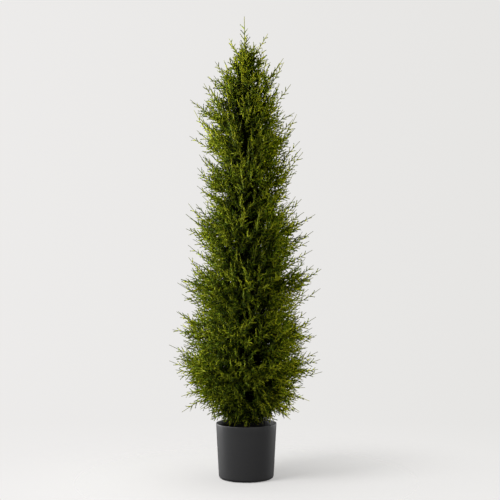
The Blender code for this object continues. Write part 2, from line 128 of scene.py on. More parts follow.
# The crown's outline: height, reach to the left (-X) and reach to the right (+X).
CROWN_OUTLINE = (
    (0.150, 0.088, 0.092),
    (0.195, 0.130, 0.130),
    (0.240, 0.150, 0.140),
    (0.330, 0.180, 0.156),
    (0.400, 0.168, 0.152),
    (0.445, 0.140, 0.138),
    (0.525, 0.160, 0.156),
    (0.590, 0.126, 0.146),
    (0.680, 0.140, 0.146),
    (0.748, 0.112, 0.108),
    (0.825, 0.108, 0.112),
    (0.865, 0.098, 0.096),
    (0.905, 0.136, 0.110),
    (0.945, 0.104, 0.114),
    (0.983, 0.120, 0.090),
    (1.015, 0.080, 0.080),
    (1.050, 0.092, 0.094),
    (1.100, 0.056, 0.050),
    (1.135, 0.020, 0.040),
    (TOTAL_HEIGHT, 0.003, 0.003),
)

# How steeply the sprays rise, in degrees, at a height in the crown.
SPRAY_RISE = ((0.160, -34), (0.235, -6), (0.330, 10), (0.700, 30), (0.985, 44), (1.150, 58))

# Tier: name, height of its foot at the crown's surface, masses in it, turn of the first mass
# in degrees, main sprays on a mass, and the radius at which its boughs end.
TIERS = (
    ("skirt", 0.150, 4, 45, 6, None),
    ("low", 0.238, 5, 0, 7, 0.058),
    ("belly", 0.345, 5, 36, 7, 0.058),
    ("waist", 0.447, 5, 0, 7, 0.052),
    ("middle", 0.592, 5, 36, 7, None),
    ("upper", 0.748, 4, 0, 6, None),
    ("shoulder", 0.868, 4, 45, 5, None),
    ("neck", 0.945, 3, 180, 6, None),
    ("cap", 1.030, 3, 0, 6, None),
)
# The leader's sprays, in a spiral from just over the pole's tip.
LEADER_FOOT = 1.105
LEADER_SPRAYS = 8
LEADER_FIRST = 0.008
LEADER_STEP = 0.006
LEADER_REACH = 0.062
LEADER_FADE = 4
LEADER_RISE = (57, 38)
LEADER_RISE_JITTER = 2

# The crown's longest tips: mass, azimuth in degrees (0 is +X), height and distance from the pole.
LONG_TIPS = (
    ("skirt_1", 12, 0.205, 0.158),
    ("skirt_2", 168, 0.222, 0.163),
    ("low_1", 4, 0.285, 0.190),
    ("low_3", 173, 0.316, 0.197),
    ("belly_1", 10, 0.372, 0.182),
    ("belly_3", 184, 0.440, 0.182),
    ("waist_1", -4, 0.552, 0.196),
    ("waist_3", 172, 0.523, 0.179),
    ("middle_1", 8, 0.697, 0.184),
    ("middle_3", 182, 0.697, 0.162),
    ("upper_1", 3, 0.872, 0.146),
    ("shoulder_2", 171, 0.906, 0.153),
    ("neck_1", 180, 1.000, 0.147),
    ("neck_3", 9, 0.968, 0.131),
    ("cap_1", 2, 1.110, 0.102),
    ("cap_2", 171, 1.063, 0.103),
)

# Main sprays: where they leave the stem, how far their tips stand out, and their toothed blades.
ROOT_SHARE = (0.12, 0.32)
TIP_REACH = (0.004, 0.028)
ARCH_UP = (0.05, 0.12)
ARCH_DOWN = -0.06
BLADE_ROLL = (25, 75)
TEETH = 3
TEETH_FROM = 0.60
TEETH_TO = 0.90
TOOTH_LENGTH = (0.015, 0.020)
TOOTH_SPREAD = 0.78
TOOTH_SWEEP = 0.62
TOOTH_TAPER = 0.45
RIB = 0.0016
# In ribs: the blade's thickness and thinning, how far its back lies under the rib, and half its
# width.
BLADE_THICKNESS = 1.2
BLADE_THINNING = 0.6
BLADE_SINK = 0.5
BLADE_HALF_WIDTH = 1.3

# How they are spread over a cell's outer face. One that leaves it is tried again, smaller.
GOLDEN_SHARE = 0.618034
GOLDEN_TURN = 137.5
ACROSS_START = 0.31
ACROSS_FILL = 0.80
ACROSS_JITTER = 0.06
UP_FROM = 0.10
UP_FILL = 0.84
UP_JITTER = 0.25
TRIES = 12
SHRINK = 0.92
SEED = 4211

# ---- finer growth ----
# A pair is a range, unless said otherwise. Angles, turns, rolls and tilts are in degrees.
# How far into an even step a twiglet may stand, and a side shoot or needle.
STEP_JITTER = (0.2, 0.8)
WIDE_STEP_JITTER = (0.1, 0.9)

# Fronds between the main sprays. By height: how many for each square metre of a mass's outer
# face, and how far inside the crown's outline most tips may end. Some stand further out.
FRONDS_PER_SQUARE_METRE = (
    (0.150, 1350), (0.238, 1450), (0.350, 1300), (0.450, 1120), (0.600, 1050), (0.940, 1050),
    (1.030, 1400),
)
FROND_DEPTH = (
    (0.150, -0.008), (0.300, -0.006), (0.400, -0.010), (0.600, -0.028), (0.940, -0.050),
    (1.000, -0.062), (1.060, -0.060), (1.105, -0.032),
)
FROND_OUTER = 0.009
FROND_LONG_REACH = (0.004, 0.022)
FROND_LONG_SHARE = 0.11
FROND_ACROSS_JITTER = 0.04
FROND_RISE_JITTER = 14
FROND_ARCH = (0.08, 0.20)
FROND_SWAY = 0.022
FROND_ROLL = (45, 90)
FROND_TWIGLET_JITTER = (0.8, 1.05)
FROND_LOWEST = FILL_LEVEL + 0.03
FROND_HIGHEST = TRUNK_TOP - 0.004
FROND_ROOT_SHARE = 0.5

# Long fine fronds at the crown's left (-X) and right (+X): height and tip's place across.
EDGE_TIPS = (
    (1.099, 0.103), (1.039, 0.120), (0.959, 0.134), (0.925, 0.130), (0.890, 0.142),
    (0.861, 0.150), (0.737, 0.145), (0.652, 0.176), (0.602, 0.173), (0.501, 0.193),
    (0.425, 0.182), (0.377, 0.184), (0.330, 0.190), (0.311, 0.195), (0.282, 0.198),
    (0.203, 0.166), (0.173, 0.140), (0.156, 0.116),
    (0.975, -0.138), (0.950, -0.122), (0.853, -0.124), (0.819, -0.130), (0.726, -0.156),
    (0.615, -0.156), (0.515, -0.185), (0.486, -0.173), (0.438, -0.188), (0.351, -0.206),
    (0.308, -0.206), (0.213, -0.174), (0.176, -0.170),
)
EDGE_TURN = 10
EDGE_ARCH = (0.10, 0.20)

# Short sprays round the leader's foot. Their reach is given for the lowest and the highest.
LEADER_SIDES = 18
LEADER_TWIGLET = 0.016
LEADER_SIDE_REACH = (0.045, 0.010)
LEADER_SIDE_JITTER = (0.7, 1.05)
LEADER_SIDE_RISE = (54, 68)
LEADER_SIDE_FOOT = TRUNK_TOP - 0.03
LEADER_SIDE_STRETCH = 0.070
LEADER_SIDE_TURN = 60

# The leader's long tip: its foot, its radii from foot to end, and its twiglets, whose plane is
# turned by an angle in radians.
SPIKE_FOOT = TRUNK_TOP + 0.01
SPIKE_RADII = (0.0020, 0.0008)
SPIKE_SHADE = "leaf"
SPIKE_STEP = 0.0082
SPIKE_STRETCH = (0.10, 0.79)
SPIKE_TWIGLET = 0.024
SPIKE_ROLL = 1.42

# Side shoots of a frond. Their length is a share of the frond's, less towards its tip.
LATERALS = 4
LATERAL_STRETCH = (0.34, 0.58)
LATERAL_LENGTH = 0.285
LATERAL_TAPER = 0.40
LATERAL_JITTER = (0.8, 1.15)
LATERAL_ANGLE = (24, 42)
LATERAL_TILT = (-70, 70)
LATERAL_ARCH = (0.06, 0.16)
LATERAL_TWIGLET = (0.013, 0.019)

# Filler growth near the pole, which ends at a share of the crown's reach, and its broad leaves,
# whose near-black colour is painted shade inside the crown.
FILLER_SPRAYS = 760
FILLER_DEPTH = (0.20, 0.62)
FILLER_HEIGHTS = (0.160, 1.040)
FILLER_CROWDING = 1.35
FILLER_LEAVES = 24
FILLER_LEAF_LENGTH = (0.016, 0.024)
FILLER_LEAF_WIDTH = 0.0060
FILLER_LEAF_LIFT = (0.0, 0.0, 0.5)

# Sprays that hang into the pot's mouth from each mass of the skirt, and how far twiglets keep
# from the pot's wall.
MOUTH_SPRAYS = 30
MOUTH_REACH = (0.030, 0.078)
MOUTH_RISE = (0.002, 0.020)
MOUTH_ROOT = (0.165, 0.215)
MOUTH_ROOT_SHARE = 0.3
MOUTH_ARCH = -0.25
MOUTH_TWIGLET_SHARE = 0.8
POT_MARGIN = 0.003

# A rib's radii at its root, where its green tip starts and at its end.
RIB_ROOT_RADIUS = 0.0012
RIB_MIDDLE_RADIUS = 0.0009
RIB_END_RADIUS = 0.0006
RIB_SIDES = 3
RIB_STEPS = 4
# Fronds and side shoots: where the green tip starts, and steps of the stem and of the tip.
FROND_FORM = (0.86, 4, 1)
LATERAL_FORM = (0.55, 2, 2)

# Twiglets: spacing, stretches of the ribs that carry them, length on fronds, and stance.
TWIGLET_STEP = 0.0072
TWIGLETS_ON_FROND = (0.36, 0.90)
TWIGLETS_ON_LEADER = (0.10, 0.90)
TWIGLETS_ON_LATERAL = (0.10, 0.88)
TWIGLET_LENGTH = 0.0205
TWIGLET_TAPER = 0.40
TWIGLET_JITTER = (0.7, 1.2)
TWIGLET_ANGLE = (30, 50)
TWIGLET_TILT = (-38, 38)
TWIGLET_RADIUS = 0.0023

# Needles: spacing, length, width, angle, where they are widest, and fold.
NEEDLE_STEP = 0.0022
NEEDLE_LENGTH = (0.0038, 0.0050)
NEEDLE_WIDTH = 0.0027
NEEDLE_ANGLE = (6, 17)
NEEDLE_BELLY = 0.40
NEEDLE_FOLD = 0.25

# ---- shades and finishes ----
# Shades of needles from the crown's inside out: base colour, and share of the sprays. The darker
# shades deep in the crown are painted shade, and the lighter, yellower ones at its outside are
# painted light. Chance moves a spray as if its tip stood further in or out, and near the top all
# count as further out, as painted light on the top.
SHADES = {
    "dark": ((0.025, 0.043, 0.003), 0.22),
    "deep": ((0.047, 0.084, 0.005), 0.20),
    "leaf": ((0.087, 0.150, 0.007), 0.19),
    "olive": ((0.138, 0.178, 0.008), 0.10),
    "bright": ((0.174, 0.250, 0.010), 0.16),
    "lime": ((0.252, 0.304, 0.013), 0.13),
}
SHADE_CHANCE = 0.014
TOP_PAINTED_LIGHT_FROM = 0.98
TOP_PAINTED_LIGHT = 0.10
# By how many shades twiglets differ from their spray, and how many do. Those on a rib's first part
# are one darker still, as painted shade, and those on its last part one lighter, partly as paler
# young growth and partly as painted light.
TWIGLET_SHIFTS = (-2, -1, 0, 1, 2)
TWIGLET_SHIFT_SHARES = (0.18, 0.20, 0.24, 0.21, 0.17)
PAINTED_SHADE_FOOT = 0.40
PALE_LIT_END = 0.62

# Plain finishes: colour (but for needles), roughness and shine.
NEEDLE_FINISH = (0.50, 0.20)
TIP_FINISH = ((0.205, 0.236, 0.019), 0.7, 0.08)
STEM_FINISH = ((0.082, 0.084, 0.008), 0.6, 0.2)
# The filler leaves' near-black colour is painted shade deep inside the crown.
FILLER_SHADE_FINISH = ((0.022, 0.032, 0.006), 0.8, 0.1)
FLOOR_FINISH = (FLOOR_COLOUR, 0.9, 0.1)
# Grained finishes: two colours, the grain's scale, roughness, relief, and the grain's stretch.
BARK_FINISH = ((0.020, 0.013, 0.008), (0.060, 0.040, 0.022), 160, 0.8, 0.7, (1, 1, 0.2))
POT_FINISH = ((0.024, 0.024, 0.025), (0.030, 0.030, 0.031), 700, 0.50, 0.10, (1, 1, 1))
# The filling's dark cement colours are near-black partly as painted shade in the pot's mouth.
FILLING_FINISH = ((0.010, 0.009, 0.008), (0.035, 0.031, 0.026), 260, 0.95, 0.6, (1, 1, 1))
GRAIN_SHINE = 0.5
GRAIN_DETAIL = 6.0
GRAIN_MEETING = (0.35, 0.65)
GRAIN_DEPTH = 0.0004

# ---- limbs, pot and filling ----
# Limbs: rings along them, sides, and depth of the bark as a share of the radius.
POLE_FORM = (240, 24, 0.035)
BOUGH_FORM = (40, 14, 0.035)
STEM_FORM = (24, 10, 0.03)
STEM_SHARE = 0.5
# Bark: ridges round a limb and radians of their change for each metre, coarse and fine, then the
# waves by which they wander round it and along it.
BARK_RIDGES = (7, 13)
BARK_CHANGES = (420, 900)
BARK_FINE = 0.5
BARK_WANDER = ((0.9, 61, 0), (0.5, 173, 1))
BARK_KNOTS = (3, 2)

# The pot's underside has a recess inside a foot ring.
RECESS_HEIGHT = 0.0008
RECESS_RADIUS = 0.052
FOOT_RING_RADIUS = 0.0535
POT_SIDES = 144
POT_RINGS = 12
POT_EDGE_STEPS = 10
POT_FLOOR_STEPS = 6
SHARP_FROM = 40
# The filling's rough top lies a little under its level.
FILL_SIDES = 96
FILL_RINGS = 26
FILL_SINK = 0.001
FILL_BUMPS = (-0.0012, 0.0010)

# A direction counts as upright when a level one across it is this short, or its own Z this high.
SHORT_ACROSS = 0.05
STEEP_Z = 0.9


# ---- the crown's form ----
def along(rows, at, column=1):
    """The value in a column of rows at a height, on straight lines between the rows."""
    if at <= rows[0][0]:
        return rows[0][column]
    for low, high in zip(rows, rows[1:]):
        if at <= high[0]:
            share = (at - low[0]) / (high[0] - low[0])
            return low[column] + share * (high[column] - low[column])
    return rows[-1][column]


def crown_radius(z, azimuth):
    """How far the leafy body reaches at a height, towards an azimuth (0 is +X)."""
    left = along(CROWN_OUTLINE, z, 1)
    right = along(CROWN_OUTLINE, z, 2)
    return (left + right) / 2 + (right - left) / 2 * math.cos(azimuth)


def trunk_axis(z):
    """Centre of the pole at a height: a slight bow, and a lean of the top to the left."""
    share = max(0.0, (z - FILL_LEVEL) / (TRUNK_TOP - FILL_LEVEL))
    return Vector((TRUNK_BOW * math.sin(math.pi * share) + TRUNK_LEAN * share**2, 0.0, z))


def trunk_radius(z):
    """Radius of the pole at a height, with its flared foot."""
    share = (z - FILL_LEVEL) / (TRUNK_TOP - FILL_LEVEL)
    radius = TRUNK_RADIUS + (TRUNK_TIP_RADIUS - TRUNK_RADIUS) * share
    foot = max(0.0, 1 - (z - FILL_LEVEL) / TRUNK_FLARE_HEIGHT)
    return radius + (TRUNK_FLARE_RADIUS - TRUNK_RADIUS) * foot**2


def polar(rho, azimuth, z):
    """The point at a distance from the pole's centre, towards an azimuth, at a height."""
    return trunk_axis(z) + Vector((rho * math.cos(azimuth), rho * math.sin(azimuth), 0.0))


def round_pole(point):
    """A point's distance from the pole's centre, and its azimuth."""
    from_axis = point - trunk_axis(point.z)
    return math.hypot(from_axis.x, from_axis.y), math.atan2(from_axis.y, from_axis.x)


def level(foot, rho):
    """Height, at a distance from the pole, of the sloping surface that parts two tiers."""
    slope = math.tan(math.radians(along(SPRAY_RISE, foot)))
    return foot + slope * (rho - crown_radius(foot, math.pi / 2))


class Cell:
    """The space of one mass: a sector of a tier, clear of the pole, its boughs and the pot."""

    def __init__(self, name, azimuth, half_angle, foot, head, sprays, bough_end):
        self.name, self.azimuth, self.half_angle = name, azimuth, half_angle
        self.foot, self.head = foot, head
        self.sprays, self.bough_end = sprays, bough_end

    def floor(self, rho):
        if self.foot > TIERS[0][1]:
            return level(self.foot, rho)
        dip = max(0.0, 1 - rho / POT_DIP_RADIUS) * (POT_HEIGHT - FILL_LEVEL)
        return POT_HEIGHT + POT_CLEARANCE - dip

    def ceiling(self, rho):
        return level(self.head, rho)

    def middle(self, rho):
        """Height of the cell's mid-line, which boughs and stems follow."""
        return (level(self.foot, rho) + self.ceiling(rho)) / 2

    def inner(self, z):
        """Distance from the pole's centre at which foliage may start."""
        return (self.bough_end or trunk_radius(z)) + LIMB_CLEARANCE

    def start(self):
        """Distance from the pole's centre at which the mass's own stem starts."""
        return (self.bough_end or trunk_radius(self.middle(0.0))) + GAP

    def outer(self):
        """The crown's reach half-way up the cell."""
        return crown_radius((self.foot + self.head) / 2, self.azimuth)

    def holds(self, point):
        """True if a point lies in the cell, clear of its walls."""
        rho, azimuth = round_pole(point)
        turn = abs((azimuth - self.azimuth + math.pi) % (2 * math.pi) - math.pi)
        if rho < self.inner(point.z) or turn >= self.half_angle:
            return False
        if rho * math.sin(min(self.half_angle - turn, math.pi / 2)) < WALL_CLEARANCE:
            return False
        low, high = self.floor(rho) + WALL_CLEARANCE, self.ceiling(rho) - WALL_CLEARANCE
        return low < point.z < high


def crown_cells():
    """The cells of the crown's tiers, from the skirt up."""
    heads = [tier[1] for tier in TIERS[1:]] + [LEADER_FOOT]
    for (tier, foot, count, turn, sprays, bough_end), head in zip(TIERS, heads):
        for k in range(count):
            azimuth = math.radians(turn) + 2 * math.pi * k / count
            yield Cell(f"{tier}_{k + 1}", azimuth, math.pi / count, foot, head, sprays, bough_end)


# ---- the main sprays, by the source's rule ----
class Spray:
    """One frond: a curved rib from root to tip, and how its twiglets are turned and sized."""

    def __init__(self, root, tip, sag, roll, tooth):
        self.root, self.tip, self.roll, self.tooth = root, tip, roll, tooth
        self.bend = (root + tip) / 2 - Vector((0, 0, sag * (tip - root).length))

    def at(self, t):
        """The rib's centre at a share of its length."""
        return (1 - t) ** 2 * self.root + 2 * t * (1 - t) * self.bend + t**2 * self.tip

    def frame(self, t):
        """Direction of the rib, of the blade's side and of its face, at a share of its length."""
        ahead = (1 - t) * (self.bend - self.root) + t * (self.tip - self.bend)
        ahead = ahead.normalized()
        level_side = ahead.cross(Vector((0, 0, 1)))
        if level_side.length < SHORT_ACROSS:
            level_side = Vector((1, 0, 0))
        level_side = level_side.normalized()
        face = level_side.cross(ahead)
        side = math.cos(self.roll) * level_side + math.sin(self.roll) * face
        return ahead, side, ahead.cross(side)


def blade_points(spray):
    """The corners of the model's toothed blade on a spray, past its root."""
    stations = [TEETH_FROM + (TEETH_TO - TEETH_FROM) * k / TEETH for k in range(TEETH + 1)]
    points = [spray.at(TEETH_FROM / 2), spray.at(1.0)]
    for t in stations:
        _, side, face = spray.frame(t)
        thick = RIB * (BLADE_THICKNESS - BLADE_THINNING * t)
        low = spray.at(t) - BLADE_SINK * thick * face
        wide = BLADE_HALF_WIDTH * thick * side
        points += [low + wide, spray.at(t) + thick * face, low - wide]
    for j in range(TEETH):
        t = (stations[j] + stations[j + 1]) / 2
        ahead, side, _ = spray.frame(t)
        length = spray.tooth * (1 - TOOTH_TAPER * j / TEETH)
        for sign in (1, -1):
            aside = TOOTH_SPREAD * sign * side + TOOTH_SWEEP * ahead
            points.append(spray.at(t) + length * aside)
    return points


def fits(cell, spray):
    """True if a spray's blade stays in its cell from where it leaves the stem."""
    return all(cell.holds(point) for point in blade_points(spray))


def cell_spray(cell, k, rng, shrink):
    """The k-th spray of a cell: spread over the cell's outer face by a rule, then jittered."""
    across = ACROSS_START + k * GOLDEN_SHARE + rng.uniform(-ACROSS_JITTER, ACROSS_JITTER)
    up = (k + 0.5 + rng.uniform(-UP_JITTER, UP_JITTER)) / cell.sprays
    azimuth = cell.azimuth + (2 * (across % 1.0) - 1) * ACROSS_FILL * cell.half_angle
    outer = cell.outer()
    low, high = cell.floor(outer), cell.ceiling(outer)
    z = low + (UP_FROM + UP_FILL * up) * (high - low)
    tip = polar(crown_radius(z, azimuth) + rng.uniform(*TIP_REACH), azimuth, z)
    return spray_to(cell, tip, rng, shrink)


def spray_to(cell, tip, rng, shrink):
    """A spray from the cell's stem to a tip. The skirt's arch down, and the rest sweep up."""
    inner = cell.inner(cell.middle(0.0))
    rho = inner + rng.uniform(*ROOT_SHARE) * (cell.outer() - inner)
    root = polar(rho, cell.azimuth, cell.middle(rho))
    roll = math.radians(rng.uniform(*BLADE_ROLL) * rng.choice((-1, 1)))
    arch = rng.uniform(*ARCH_UP) if cell.foot > TIERS[0][1] else ARCH_DOWN
    return Spray(root, tip, arch * shrink, roll, shrink * rng.uniform(*TOOTH_LENGTH))


def mass_sprays(cell, seed):
    """The main sprays of a mass, by a seeded rule. One that leaves the cell is tried again,
    smaller each time, and then skipped."""
    rng = random.Random(seed)
    sprays = []
    for name, azimuth, z, rho in LONG_TIPS:
        if name == cell.name:
            sprays.append(spray_to(cell, polar(rho, math.radians(azimuth), z), rng, SHRINK))
    for k in range(len(sprays), cell.sprays):
        tries = (cell_spray(cell, k, rng, SHRINK**n) for n in range(TRIES))
        spray = next((spray for spray in tries if fits(cell, spray)), None)
        if spray:
            sprays.append(spray)
    return sprays


def leader_sprays():
    """Sprays round the leader, in a spiral, shorter and flatter from each to the next."""
    rng = random.Random(SEED)
    first_rise, last_rise = LEADER_RISE
    for k in range(LEADER_SPRAYS):
        root = trunk_axis(TRUNK_TOP + LEADER_FIRST + LEADER_STEP * k)
        reach = LEADER_REACH * (1 - k / (LEADER_SPRAYS + LEADER_FADE))
        rise = first_rise + (last_rise - first_rise) * k / (LEADER_SPRAYS - 1)
        rise += rng.uniform(-LEADER_RISE_JITTER, LEADER_RISE_JITTER)
        height = root.z + reach * math.tan(math.radians(rise))
        tip = polar(reach, math.radians(GOLDEN_TURN * k), height)
        yield Spray(root, tip, ARCH_UP[0], math.radians(rng.uniform(*BLADE_ROLL)), LEADER_TWIGLET)


# ---- finer sprays ----
def from_pole(reach, azimuth, z, rise, sag, rng):
    """A spray that leaves the pole so as to rise to its tip at an angle."""
    tip = polar(reach, azimuth, z)
    height = tip.z - reach * math.tan(math.radians(rise))
    height = min(max(height, FROND_LOWEST), FROND_HIGHEST)
    root = polar(FROND_ROOT_SHARE * trunk_radius(height), azimuth, height)
    roll = math.radians(rng.uniform(*FROND_ROLL) * rng.choice((-1, 1)))
    spray = Spray(root, tip, sag, roll, TWIGLET_LENGTH * rng.uniform(*FROND_TWIGLET_JITTER))
    spray.bend += FROND_SWAY * Vector((rng.uniform(-1, 1), rng.uniform(-1, 1), 0.0))
    return spray


def fronds(cell, seed):
    """Finer sprays of a mass, spread over its outer face by the same rule as the main ones."""
    rng = random.Random(seed)
    outer = cell.outer()
    low, high = cell.floor(outer), cell.ceiling(outer)
    face = 2 * cell.half_angle * outer
    count = round(along(FRONDS_PER_SQUARE_METRE, low) * face * (high - low))
    for k in range(count):
        across = k * GOLDEN_SHARE + rng.uniform(-FROND_ACROSS_JITTER, FROND_ACROSS_JITTER)
        azimuth = cell.azimuth + (2 * (across % 1.0) - 1) * cell.half_angle
        z = low + (k + rng.uniform(0, 1)) / count * (high - low)
        long = rng.random() < FROND_LONG_SHARE
        span = FROND_LONG_REACH if long else (along(FROND_DEPTH, z), FROND_OUTER)
        reach = crown_radius(z, azimuth) + rng.uniform(*span)
        rise = along(SPRAY_RISE, z) + rng.uniform(-FROND_RISE_JITTER, FROND_RISE_JITTER)
        sag = rng.uniform(*FROND_ARCH) if cell.foot > TIERS[0][1] else ARCH_DOWN
        yield from_pole(reach, azimuth, z, rise, sag, rng)


def edge_sprays():
    """Long fine fronds at the crown's left and right, whose rise wanders half as much."""
    rng = random.Random(SEED + 2500)
    for z, x in EDGE_TIPS:
        turn = math.radians(rng.uniform(-EDGE_TURN, EDGE_TURN))
        azimuth = turn if x > 0 else math.pi - turn
        reach = abs(x) / math.cos(turn)
        rise = along(SPRAY_RISE, z) + rng.uniform(-FROND_RISE_JITTER, FROND_RISE_JITTER) / 2
        sag = rng.uniform(*EDGE_ARCH) if z > TIERS[1][1] else ARCH_DOWN
        yield from_pole(reach, azimuth, z, rise, sag, rng)


def filler_sprays():
    """Filler sprays all along the pole, inside the crown's outer layer, which carry the leaves of
    painted shade.
    """
    rng = random.Random(SEED + 2000)
    lowest, highest = FILLER_HEIGHTS
    for k in range(FILLER_SPRAYS):
        share = (k + rng.uniform(0, 1)) / FILLER_SPRAYS
        z = lowest + share**FILLER_CROWDING * (highest - lowest)
        azimuth = math.radians(GOLDEN_TURN * k)
        reach = rng.uniform(*FILLER_DEPTH) * crown_radius(z, azimuth)
        yield from_pole(reach, azimuth, z, along(SPRAY_RISE, z), ARCH_UP[0], rng)


def mouth_sprays(cell, seed):
    """Sprays of the skirt that hang into the pot's mouth."""
    rng = random.Random(seed)
    for k in range(MOUTH_SPRAYS):
        across = 2 * (k + rng.uniform(*STEP_JITTER)) / MOUTH_SPRAYS - 1
        azimuth = cell.azimuth + across * cell.half_angle
        reach = rng.uniform(*MOUTH_REACH)
        tip = polar(reach, azimuth, cell.floor(reach) + rng.uniform(*MOUTH_RISE))
        root = polar(MOUTH_ROOT_SHARE * reach, azimuth, rng.uniform(*MOUTH_ROOT))
        roll = math.radians(rng.uniform(*BLADE_ROLL))
        yield Spray(root, tip, MOUTH_ARCH, roll, TWIGLET_LENGTH * MOUTH_TWIGLET_SHARE)


def leader_spike():
    """The leader's long tip."""
    return Spray(trunk_axis(SPIKE_FOOT), trunk_axis(TOTAL_HEIGHT), 0.0, SPIKE_ROLL, SPIKE_TWIGLET)


def leader_growth():
    """Short sprays round the leader's foot."""
    rng = random.Random(SEED + 5)
    widest, narrowest = LEADER_SIDE_REACH
    for k in range(LEADER_SIDES):
        share = (k + rng.uniform(0, 1)) / LEADER_SIDES
        root = trunk_axis(LEADER_SIDE_FOOT + LEADER_SIDE_STRETCH * share)
        reach = (widest + (narrowest - widest) * share) * rng.uniform(*LEADER_SIDE_JITTER)
        rise = math.tan(math.radians(rng.uniform(*LEADER_SIDE_RISE)))
        turn = math.radians(GOLDEN_TURN * k + LEADER_SIDE_TURN)
        tip = polar(reach, turn, root.z + reach * rise)
        yield Spray(root, tip, ARCH_UP[0], math.radians(rng.uniform(*FROND_ROLL)), LEADER_TWIGLET)


def laterals(spray, rng):
    """Side shoots of a frond, left and right by turns, shorter towards its tip."""
    first, last = LATERAL_STRETCH
    for k in range(LATERALS):
        share = (k + rng.uniform(*WIDE_STEP_JITTER)) / LATERALS
        t = first + (last - first) * share
        ahead, side, face = spray.frame(t)
        angle = math.radians(rng.uniform(*LATERAL_ANGLE))
        tilt = math.radians(rng.uniform(*LATERAL_TILT))
        aside = math.cos(tilt) * side * (-1) ** k + math.sin(tilt) * face
        length = LATERAL_LENGTH * (spray.tip - spray.root).length
        length *= (1 - LATERAL_TAPER * share) * rng.uniform(*LATERAL_JITTER)
        root = spray.at(t)
        tip = root + length * (math.cos(angle) * ahead + math.sin(angle) * aside)
        arch, roll = rng.uniform(*LATERAL_ARCH), rng.uniform(0, math.pi)
        yield Spray(root, tip, arch, roll, rng.uniform(*LATERAL_TWIGLET))


# ---- many sprays at once ----
def unit(vectors):
    """Vectors scaled to length 1."""
    return vectors / np.linalg.norm(vectors, axis=-1, keepdims=True)


def across_of(ahead):
    """Two directions square to each given one, and to each other."""
    upright = np.abs(ahead[..., 2:]) > STEEP_Z
    guide = np.where(upright, np.array((1.0, 0.0, 0.0)), np.array((0.0, 0.0, 1.0)))
    first = unit(np.cross(ahead, guide))
    return first, np.cross(first, ahead)


class Ribs:
    """The ribs of many sprays as arrays."""

    def __init__(self, sprays):
        self.count = len(sprays)
        self.root = np.array([spray.root for spray in sprays])
        self.bend = np.array([spray.bend for spray in sprays])
        self.tip = np.array([spray.tip for spray in sprays])
        self.roll = np.array([spray.roll for spray in sprays])
        self.tooth = np.array([spray.tooth for spray in sprays])
        self.length = np.linalg.norm(self.tip - self.root, axis=1)

    def at(self, rib, t):
        """Centres of some ribs at shares of their lengths."""
        t = t[..., None]
        root, bend, tip = self.root[rib], self.bend[rib], self.tip[rib]
        return (1 - t) ** 2 * root + 2 * t * (1 - t) * bend + t**2 * tip

    def frame(self, rib, t):
        """Directions of some ribs, and of their sides and faces, at shares of their lengths."""
        t = t[..., None]
        root, bend, tip = self.root[rib], self.bend[rib], self.tip[rib]
        ahead = unit((1 - t) * (bend - root) + t * (tip - bend))
        level_side, face = across_of(ahead)
        roll = self.roll[rib][..., None]
        side = np.cos(roll) * level_side + np.sin(roll) * face
        return ahead, side, np.cross(ahead, side)

    def centres(self, stretch, steps):
        """Centres of every rib at even steps along a stretch."""
        t = np.linspace(*stretch, steps + 1)
        return self.at(np.arange(self.count)[:, None], np.broadcast_to(t, (self.count, len(t))))


def shared_out(counts):
    """For items dealt out by counts: each item's owner, and its number with that owner."""
    owner = np.repeat(np.arange(len(counts)), counts)
    first = np.cumsum(counts) - counts
    return owner, np.arange(len(owner)) - first[owner]


def twiglets(ribs, stretch, step, rng):
    """Roots and tips of the twiglets on a stretch of every rib, left and right by turns, and
    how far along the stretch each stands."""
    first, last = stretch
    counts = np.maximum(2, np.round(ribs.length * (last - first) / step)).astype(int)
    rib, k = shared_out(counts)
    share = (k + rng.uniform(*STEP_JITTER, len(k))) / counts[rib]
    t = first + (last - first) * share
    ahead, side, face = ribs.frame(rib, t)
    root = ribs.at(rib, t)
    angle = np.radians(rng.uniform(*TWIGLET_ANGLE, len(k)))[:, None]
    tilt = np.radians(rng.uniform(*TWIGLET_TILT, len(k)))[:, None]
    sign = np.where(k % 2 == 0, 1.0, -1.0)[:, None]
    aside = np.cos(tilt) * side * sign + np.sin(tilt) * face
    length = ribs.tooth[rib] * (1 - TWIGLET_TAPER * share)
    length = length * rng.uniform(*TWIGLET_JITTER, len(k))
    tip = root + length[:, None] * (np.cos(angle) * ahead + np.sin(angle) * aside)
    clear = clear_of_pot(root) & clear_of_pot(tip)
    return root[clear], tip[clear], share[clear]


def clear_of_pot(points):
    """For points, which of them keep away from the pot's wall."""
    from_axis = np.hypot(points[:, 0], points[:, 1])
    inside = from_axis < POT_RIM_RADIUS - POT_WALL - POT_MARGIN
    outside = from_axis > POT_RIM_RADIUS + POT_MARGIN
    return inside | outside | (points[:, 2] > POT_HEIGHT + POT_MARGIN)


def circle(sides):
    """Cosines and sines of a circle's corners, as two columns."""
    turns = 2 * math.pi * np.arange(sides) / sides
    return np.cos(turns)[:, None], np.sin(turns)[:, None]


def rings(ahead, sides):
    """Directions of the corners of rings square to each given direction."""
    first, second = across_of(ahead)
    cosine, sine = circle(sides)
    return cosine * first[..., None, :] + sine * second[..., None, :]


def wall_faces(stations, sides):
    """Triangles between rings of corners that follow one another."""
    side = np.arange(sides)
    rows = np.arange(stations - 1)[:, None] * sides
    low, next_low = rows + side, rows + (side + 1) % sides
    lower = np.stack([low, next_low, next_low + sides], -1).reshape(-1, 3)
    upper = np.stack([low, next_low + sides, low + sides], -1).reshape(-1, 3)
    return np.concatenate([lower, upper])


def closed_faces(stations, sides):
    """Triangles of a closed body of rings, whose last two corners are the middles of its foot
    and its top."""
    side, next_side = np.arange(sides), (np.arange(sides) + 1) % sides
    middle, last_ring = stations * sides, (stations - 1) * sides
    foot = np.stack([np.full(sides, middle), next_side, side], -1)
    top = np.stack([np.full(sides, middle + 1), last_ring + side, last_ring + next_side], -1)
    return np.concatenate([wall_faces(stations, sides), foot, top])


